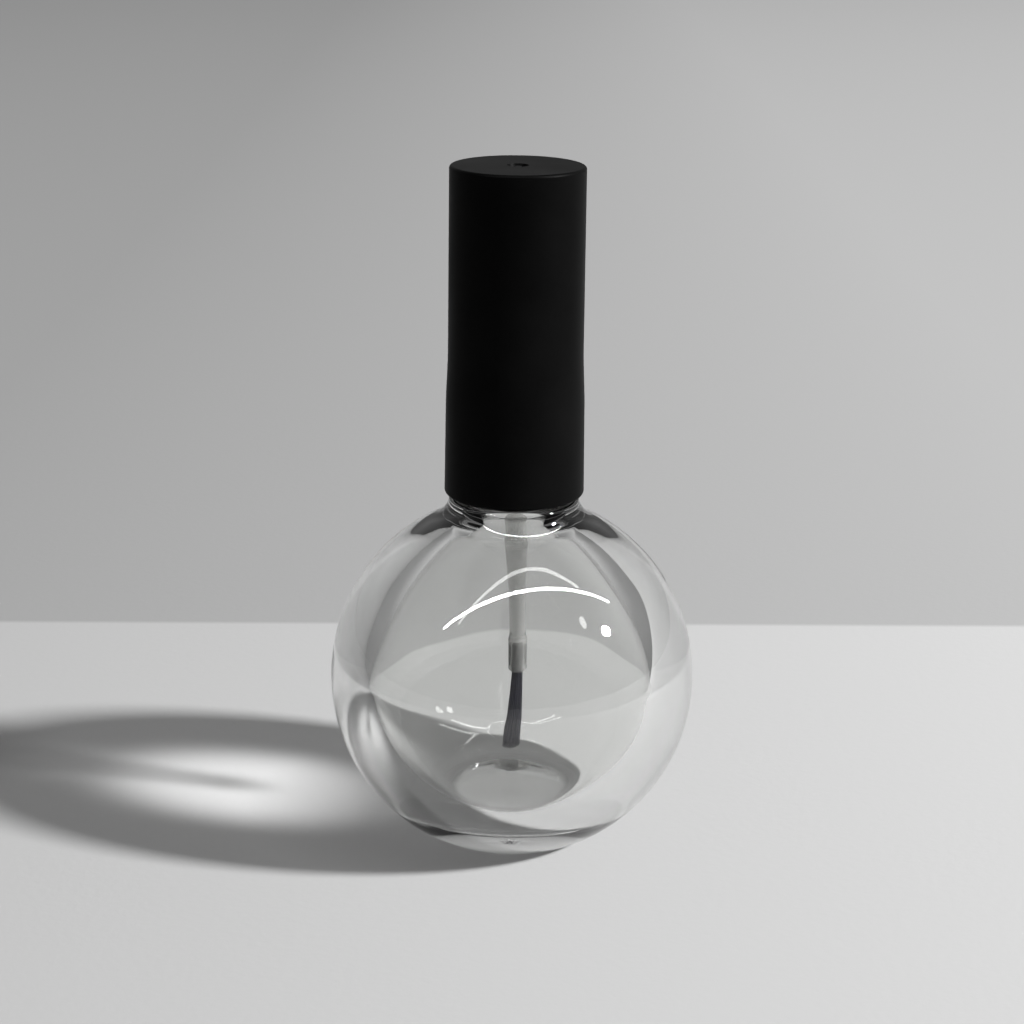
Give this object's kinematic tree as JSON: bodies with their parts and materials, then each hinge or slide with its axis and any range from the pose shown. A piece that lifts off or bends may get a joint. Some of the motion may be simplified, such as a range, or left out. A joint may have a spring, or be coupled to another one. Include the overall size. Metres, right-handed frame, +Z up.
{
  "type": "nail polish bottle",
  "caption": "Clear glass ball bottle for nail polish with a tall matte black screw cap that lifts out a slim applicator brush.",
  "frame": {"origin": "centre of the base, on the table", "axes": "+Z up along the bottle's axis, -Y towards the viewer of the front, +X to the viewer's right"},
  "size_m": [0.0398, 0.0398, 0.074],
  "materials": {
    "glass": "clear, fire-polished",
    "cap_black": "matte, fine grain",
    "inner_cap_plastic": "natural white, satin",
    "washer": "soft, matte",
    "stem_plastic": "milky, translucent",
    "bristles": "satin filaments",
    "staple": "bright"
  },
  "bodies": {
    "bottle": {"glass_bottle": "glass"},
    "seal": {"seal_washer": "washer"},
    "cap": {"outer_cap": "cap_black", "inner_cap": "inner_cap_plastic", "brush_stem": "stem_plastic", "bristle_tuft": "bristles", "anchor_staple": "staple"}
  },
  "joints": [
    {"name": "cap_rise", "type": "slide", "parent": "bottle", "child": "seal", "axis": [0, 0, 1], "range_m": [0, 0.0509]},
    {"name": "cap_turn", "type": "hinge", "parent": "seal", "child": "cap", "pos_m": [0, 0, 0.05], "axis": [0, 0, 1], "range_deg": [0, 8640]}
  ],
  "couplings": [
    {"joint": "cap_rise", "follows": "cap_turn", "m_per_rad": 0.00033693}
  ]
}
